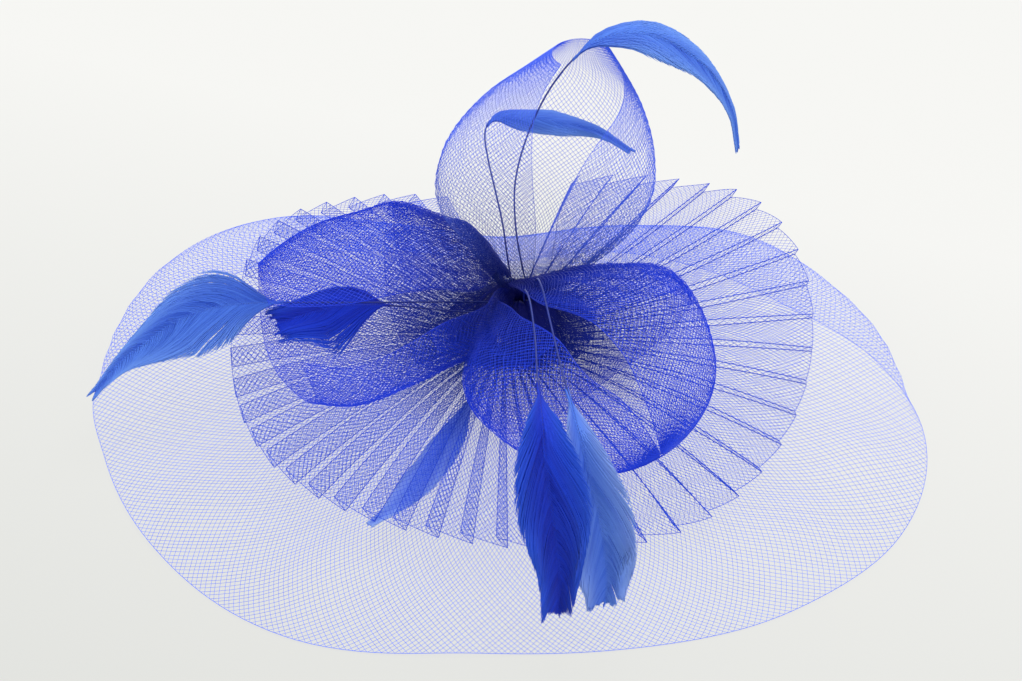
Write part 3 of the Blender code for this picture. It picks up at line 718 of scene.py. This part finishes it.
SPREAD_PROFILE = [
    # share of the way out, radius and height above the bunch's foot in millimetres
    (0.00, 2.6, 15.0),
    (0.12, 3.8, 18.6),
    (0.28, 8.0, 20.2),
    (0.48, 13.5, 16.0),
    (0.74, 21.0, 7.5),
    (1.00, 31.0, 4.0),
]
SPREAD_THREADS = 300
SPREAD_TURN = 42           # degrees that a thread turns on its way out
SPREAD_RIPPLE = 0.0009
rng = np.random.default_rng(43)
out_share = np.linspace(0, 1, 16)
spread_radius, spread_height = np.moveaxis(table_at(SPREAD_PROFILE, out_share) / 1000, -1, 0)
spread_runs = []
for way in (-1, 1):
    for n in range(SPREAD_THREADS):
        azimuth = (n + rng.uniform(-0.2, 0.2)) * 360 / SPREAD_THREADS + way * SPREAD_TURN * out_share
        wave = ripple(np.radians(azimuth), ((11, 0.7, 1.0), (17, 2.0, 0.8), (29, 4.4, 0.5)))
        height = GATHER_BOTTOM + spread_height + SPREAD_RIPPLE * wave * np.sqrt(out_share)
        run = from_hub(azimuth, spread_radius, height) + (GATHER_RIGHT, GATHER_BEHIND, 0.0)
        spread_runs.append((run, {"tone": rng.uniform(0, 1)}))
spread = threads("bunch_spread", spread_runs, LOOP_THREAD, LOOP_SHADED_BRAID)
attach(spread, "root")
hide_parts("gathered_centre")


# The feathers: stripped quills whose last part keeps its vane. Each vane is hundreds of barbs that leave
# the shaft at a slant and run together in small locks. It ends as a loose brush, and the tip curls down.
QUILL = 0.00084            # a bare quill's thickness
FEATHERS = {
    # vane: share of length where it starts; cup: how far its edges sink, in half widths; tilt: degrees
    # that it is turned about the shaft; open and close: shares of the vane where it is fully open and
    # where it starts to close in, which shift sets later on one side and earlier on the other; tip: share
    # of its width left at the tip; skew: how much wider one side starts.
    # root: azimuth, share of GATHER_RADIUS and share of GATHER_HEIGHT; spine: shares of length from there
    "feather_top_outer": dict(length=0.185, width=0.025, vane=0.50, cup=0.10, root=(65, 0.60, 1.0),
        tilt=6, open=0.20, close=0.40, shift=0.1, tip=0.24, skew=0.0, spine=[
        (-0.012, 0.005, 0.060), (-0.025, 0.020, 0.150), (-0.025, 0.050, 0.235), (0.000, 0.108, 0.310),
        (0.042, 0.173, 0.375), (0.097, 0.222, 0.430), (0.160, 0.252, 0.467), (0.250, 0.260, 0.475),
        (0.335, 0.240, 0.447), (0.400, 0.210, 0.400), (0.443, 0.178, 0.335), (0.458, 0.135, 0.270)]),
    "feather_top_inner": dict(length=0.120, width=0.016, vane=0.52, cup=0.10, root=(120, 0.60, 1.0),
        tilt=10, open=0.20, close=0.50, shift=0.1, tip=0.30, skew=0.0, spine=[
        (-0.016, 0.020, 0.100), (-0.033, 0.054, 0.215), (-0.058, 0.104, 0.315), (-0.083, 0.188, 0.390),
        (-0.090, 0.288, 0.430), (-0.040, 0.354, 0.440), (0.060, 0.340, 0.440), (0.175, 0.304, 0.447),
        (0.292, 0.290, 0.422), (0.392, 0.255, 0.372)]),
    "feather_left_outer": dict(length=0.174, width=0.036, vane=0.40, cup=0.08, root=(184, 1.0, 0.80),
        tilt=-34, open=0.34, close=0.42, shift=-0.22, tip=0.12, skew=0.0, spine=[
        (-0.100, -0.025, 0.020), (-0.235, -0.040, 0.030), (-0.366, -0.048, 0.035),
        (-0.470, -0.048, 0.035), (-0.560, -0.045, 0.030), (-0.632, -0.045, 0.020),
        (-0.711, -0.060, 0.000), (-0.780, -0.095, -0.030), (-0.850, -0.150, -0.060),
        (-0.902, -0.220, -0.090)]),
    "feather_left_inner": dict(length=0.094, width=0.046, vane=0.42, cup=0.06, root=(210, 1.0, 0.70),
        tilt=-30, open=0.30, close=0.45, shift=-0.35, tip=0.40, skew=0.0, spine=[
        (-0.190, -0.010, 0.020), (-0.380, 0.000, 0.035), (-0.520, 0.005, 0.040), (-0.650, 0.005, 0.035),
        (-0.780, -0.020, 0.020), (-0.940, -0.080, 0.000)]),
    "feather_front_main": dict(length=0.184, width=0.028, vane=0.46, cup=0.12, root=(-75, 0.60, 1.0),
        tilt=0, open=0.52, close=0.56, shift=-0.05, tip=0.46, skew=-0.15, spine=[
        (0.000, -0.080, 0.090), (0.010, -0.230, 0.170), (0.018, -0.400, 0.210), (0.021, -0.520, 0.215),
        (0.028, -0.620, 0.190), (0.037, -0.690, 0.120), (0.051, -0.730, 0.020), (0.062, -0.745, -0.090),
        (0.060, -0.750, -0.200)]),
    "feather_front_back": dict(length=0.180, width=0.026, vane=0.48, cup=0.12, root=(-30, 0.62, 1.0),
        tilt=0, open=0.62, close=0.74, shift=0.0, tip=0.62, skew=-0.10, spine=[
        (0.004, -0.070, 0.100), (0.014, -0.200, 0.172), (0.030, -0.360, 0.196), (0.050, -0.490, 0.180),
        (0.074, -0.590, 0.140), (0.100, -0.665, 0.068), (0.124, -0.715, -0.022), (0.136, -0.745, -0.120),
        (0.136, -0.765, -0.190)]),
    "feather_under": dict(length=0.075, width=0.015, vane=0.08, cup=0.04, root=None,
        tilt=0, open=0.45, close=0.60, shift=0.0, tip=0.30, skew=0.0, spine=[
        (-0.060, -0.180, -0.040), (-0.150, -0.380, -0.090), (-0.270, -0.580, -0.140),
        (-0.400, -0.760, -0.170), (-0.520, -0.880, -0.190)]),
}
UNDER_ROOT = (-112, 0.10)  # azimuth and share of the way out where the one below the disc is sewn
BARB = 0.00085             # a barb's width with its barbules
BARB_PITCH = 0.00034
BARB_LEAN = 17             # degrees between a barb and the shaft
BARB_FLATNESS = 0.35       # a barb's thickness as a share of its width
LOCK_BARBS = 12, 40        # a lock has at least 12 barbs and fewer than 40
LEAST_EDGE = 0.0005        # half a vane's width where it is narrowest
SHAFT_END = 0.985          # share of length where the shaft ends and its last barbs start


def feather_frame(row, root, share):
    """Places along a feather's spine, with its directions sideways and over."""
    points = [(0.0, 0.0, 0.0)] + row["spine"]
    rows = [(i / (len(points) - 1), *p) for i, p in enumerate(points)]
    here = root + table_at(rows, np.clip(share, 0, 1)) * row["length"]
    ahead = table_at(rows, np.clip(share + 0.01, 0, 1)) - table_at(rows, np.clip(share - 0.01, 0, 0.99))
    ahead = ahead / np.linalg.norm(ahead, axis=-1, keepdims=True)
    here = here + ahead * (np.maximum(0, share - 1) * row["length"])[..., None]
    start, end = table_at(rows, np.array([row["vane"], 1.0]))
    level = np.cross(end - start, (0.0, 0.0, 1.0)) * np.ones_like(ahead)
    level = level - ahead * (level * ahead).sum(axis=-1, keepdims=True)
    level = level / np.linalg.norm(level, axis=-1, keepdims=True)
    over = np.cross(level, ahead)
    turn = math.radians(row["tilt"])
    side = level * math.cos(turn) - over * math.sin(turn)
    return here, side, np.cross(side, ahead)


def half_width(row, share, way):
    """Half a vane's width on one side: it opens up to open, and narrows from close on to the tip."""
    vane = np.clip((share - row["vane"]) / (1 - row["vane"]), 0, 1)
    open_at, close_at = (row[key] * (1 + way * row["shift"]) for key in ("open", "close"))
    opened = np.sin(math.pi / 2 * np.clip(vane / open_at, 0, 1))**1.2
    closing = np.clip((vane - close_at) / (1 - close_at), 0, 1)
    closed = 1 - (1 - row["tip"]) * np.sin(math.pi / 2 * closing)**1.3
    return row["width"] / 2 * opened * closed * (1 + way * row["skew"] * (1 - vane))


def barb_runs(row, root, rng):
    """The barbs of both sides of a vane, in locks that lean together and end as a brush past the shaft."""
    runs = []
    count = int(row["length"] * (1 - row["vane"]) / BARB_PITCH)
    q = np.linspace(0, 1, 9)
    for way in (-1, 1):
        lock_end = 0
        for n in range(count):
            if n >= lock_end:
                lock, lock_end = n, n + rng.integers(*LOCK_BARBS)
                loose = 0.3 + 0.7 * (n / count)**2
                lock_reach = rng.uniform(1 - 0.10 * loose, 1.03)
                lock_lag = rng.uniform(1 - 0.10 * loose, 1 + 0.10 * loose)
                brush = rng.uniform(-0.012, 0.024)
            inside = (n - lock) / (lock_end - lock)
            share = row["vane"] + (1 - row["vane"]) * (n + rng.uniform(-0.4, 0.4)) / count
            share = min(max(share, row["vane"]), SHAFT_END)
            wide = half_width(row, np.array(min(1.0, share + 0.08)), way)
            lag = max(0.03, wide / math.tan(math.radians(BARB_LEAN)) / row["length"] * lock_lag)
            lag = lag * rng.uniform(0.97, 1.03)
            kept = min(1.0, max(0.01, 1 + brush + rng.uniform(-0.004, 0.004) - share) / lag)
            at = share + lag * kept * q**1.1
            here, side, over = feather_frame(row, root, at)
            edge = half_width(row, np.minimum(at, 1.0), way) * lock_reach * rng.uniform(0.96, 1.02)
            edge = np.maximum(edge, LEAST_EDGE)
            k = (q * kept)**0.85
            sink = row["cup"] * edge * k * k - 0.00012 * (n % 4 - 1.5)
            run = here + side * (way * (edge * k - BARB / 2))[:, None] - over * sink[:, None]
            girth = 1.0 - 0.80 * np.clip((q - 0.78) / 0.22, 0, 1)**1.6
            # The side with way -1 gets a lighter tone: painted light on one side of each vane.
            tone = 0.30 * rng.uniform() + 0.25 * (lock % 7) / 7 + 0.25 * inside + 0.10 * (1 - way)
            runs.append((run, {"girth": girth, "tone": tone, "reach": q * kept}))
    return runs


def feather_finish(name, deep, bright, edge):
    """Dyed goose feather: deep at the shaft, paler at the thin ends of the barbs, with a silky sheen."""
    material, body, place = finish_named(name)
    tone = place.node("ShaderNodeAttribute", {"attribute_name": "tone"}, outlet=2)
    reach = place.node("ShaderNodeAttribute", {"attribute_name": "reach"}, outlet=2)
    colour = tone.between((*deep, 1), (*bright, 1))
    colour = (reach**2.0 * 0.8).between(colour, (*edge, 1))
    place.tree.links.new(colour.socket, body.inputs["Base Color"])
    rough = 0.42 + tone * 0.2
    place.tree.links.new(rough.socket, body.inputs["Roughness"])
    body.inputs["Specular IOR Level"].default_value = 0.25
    return material


# The dark copy of the dyed feather is painted shade; the pale and faint copies are painted light.
FEATHER_FINISH, DARK_FEATHER, PALE_FEATHER, FAINT_FEATHER = (feather_finish(*dye_and_shade) for dye_and_shade in (
    # name, colour at the shaft, further out, and at the barbs' thin ends
    ("feather_dye", (0.010, 0.065, 0.56), (0.11, 0.28, 0.92), (0.20, 0.40, 0.95)),
    ("feather_dark", (0.002, 0.012, 0.40), (0.011, 0.060, 0.80), (0.03, 0.14, 0.90)),
    ("feather_pale", (0.04, 0.14, 0.78), (0.15, 0.33, 0.98), (0.34, 0.50, 1.00)),
    ("feather_faint", (0.14, 0.26, 0.88), (0.30, 0.46, 0.98), (0.44, 0.60, 1.0))))
QUILL_FINISH, body, place = finish_named("quill", 0.35)
streak = place.node("ShaderNodeTexNoise", Vector=place, Scale=300.0, Detail=2.0)
place.tree.links.new(streak.between((0.004, 0.01, 0.16, 1), (0.02, 0.05, 0.40, 1)).socket,
                     body.inputs["Base Color"])
rng = np.random.default_rng(53)
for name, row in FEATHERS.items():
    if row["root"]:
        root = root_point(*row["root"])
    else:
        radius, height = disc_points(np.array(float(UNDER_ROOT[0])), UNDER_ROOT[1])
        below = PLEAT_DEPTH * UNDER_ROOT[1] / PLEATS_OPEN_BY / 2 + NET_WALL + SEAT_GAP
        root = from_hub(UNDER_ROOT[0], float(radius), float(height) - below)
    # Painted shade on the front main and left inner feathers; painted light on the front back and under
    # ones.
    dye_and_shade = {"feather_front_main": DARK_FEATHER, "feather_front_back": PALE_FEATHER,
           "feather_left_inner": DARK_FEATHER, "feather_under": FAINT_FEATHER}.get(name, FEATHER_FINISH)
    vane = threads(name + "_vane", barb_runs(row, root, rng), BARB, dye_and_shade, BARB_FLATNESS)
    line = np.linspace(0, SHAFT_END, 60)
    here = feather_frame(row, root, line)[0]
    taper = np.where(line < row["vane"], 1.0, 1.0 - 0.8 * (line - row["vane"]) / (1 - row["vane"]))
    quill = threads(name + "_quill", [(here, {"girth": taper})], QUILL, QUILL_FINISH)
    for piece in (vane, quill):
        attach(piece, "root")
        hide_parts(name)


# The hair comb, a plain comb moulded in plastic and sewn under the middle to hold the piece on the hair.
# It hardly shows, so it is the frame's own solid with a moulded finish.
COMB_FINISH, body, place = finish_named("comb_moulding")
cloud = place.node("ShaderNodeTexNoise", Vector=place, Scale=120.0, Detail=3.0)
place.tree.links.new(cloud.between((0.006, 0.008, 0.16, 1), (0.015, 0.02, 0.30, 1)).socket,
                     body.inputs["Base Color"])
scuff = place.node("ShaderNodeTexNoise", Vector=place, Scale=800.0, Detail=2.0)
place.tree.links.new((0.22 + scuff * 0.25).socket, body.inputs["Roughness"])
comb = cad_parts["hair_comb"]
for held in comb.material_slots:
    held.material = COMB_FINISH


# The table and the light: a white lit table top with soft light from all round, as in a light tent, and
# two soft lamps. The table top is no part of the fascinator.
floor_mesh = bpy.data.meshes.new("table_top")
floor_mesh.from_pydata([(-4, -4, 0), (4, -4, 0), (4, 4, 0), (-4, 4, 0)], [], [(0, 1, 2, 3)])
floor = bpy.data.objects.new("table_top", floor_mesh)
bpy.context.scene.collection.objects.link(floor)
TABLE_FINISH, body, place = finish_named("table_top", 0.6)
cloud = place.node("ShaderNodeTexNoise", Vector=place, Scale=1.5, Detail=1.0)
place.tree.links.new(cloud.between((0.09, 0.09, 0.09, 1), (0.10, 0.10, 0.10, 1)).socket,
                     body.inputs["Base Color"])
# The table top's glow is darker towards the front and the left: a painted falloff of light.
across = place.node("ShaderNodeSeparateXYZ", Vector=place)
deep = place.node("ShaderNodeSeparateXYZ", outlet=1, Vector=place)
lit = place.node("ShaderNodeMapRange", _0=deep + across * 0.4, _1=-0.35, _2=0.20)
light = lit.between((0.60, 0.61, 0.58, 1), (0.81, 0.81, 0.785, 1))
place.tree.links.new(light.socket, body.inputs["Emission Color"])
body.inputs["Emission Strength"].default_value = 1.0
body.inputs["Specular IOR Level"].default_value = 0.0
floor_mesh.materials.append(TABLE_FINISH)

world = bpy.data.worlds.new("light_tent")
bpy.context.scene.world = world
world.use_nodes = True
tent = world.node_tree.nodes["Background"]
tent.inputs["Color"].default_value = (1.0, 1.0, 0.995, 1)
tent.inputs["Strength"].default_value = 0.85
for name, where, size, power in (("softbox_above", (0.25, 0.35, 1.1), 0.9, 5.0),
                                 ("softbox_left", (-1.0, -0.2, 0.7), 0.7, 3.0)):
    light = bpy.data.lights.new(name, "AREA")
    light.shape = "DISK"
    light.size = size
    light.energy = power
    lamp = bpy.data.objects.new(name, light)
    lamp.location = where
    lamp.rotation_euler = (Vector((0, 0, 0.03)) - Vector(where)).to_track_quat("-Z", "Y").to_euler()
    bpy.context.scene.collection.objects.link(lamp)
bpy.context.scene.view_settings.view_transform = "Standard"

# The camera stands where the photo's own stood, and looks at a point a little above the hub.
CAMERA_TILT = 38           # degrees above the table
CAMERA_FAR = 0.800
CAMERA_AIM = HUB + (0, 0, 0.035)
PHOTO_WIDE, PHOTO_HIGH = 1022, 681
AIM_PIXEL = 505, 325       # where that point lies in the photo
FOCAL_PIXELS = 1960
SENSOR = 36
lens = bpy.data.cameras.new("camera")
lens.lens = FOCAL_PIXELS * SENSOR / PHOTO_WIDE
lens.sensor_width = SENSOR
lens.shift_x = (PHOTO_WIDE / 2 - AIM_PIXEL[0]) / PHOTO_WIDE
lens.shift_y = (AIM_PIXEL[1] - PHOTO_HIGH / 2) / PHOTO_WIDE
lens.clip_start = 0.01
camera = bpy.data.objects.new("camera", lens)
tilt = math.radians(CAMERA_TILT)
camera.location = Vector(CAMERA_AIM) + Vector((0, -math.cos(tilt), math.sin(tilt))) * CAMERA_FAR
camera.rotation_euler = (math.radians(90) - tilt, 0, 0)
bpy.context.scene.collection.objects.link(camera)
bpy.context.scene.camera = camera
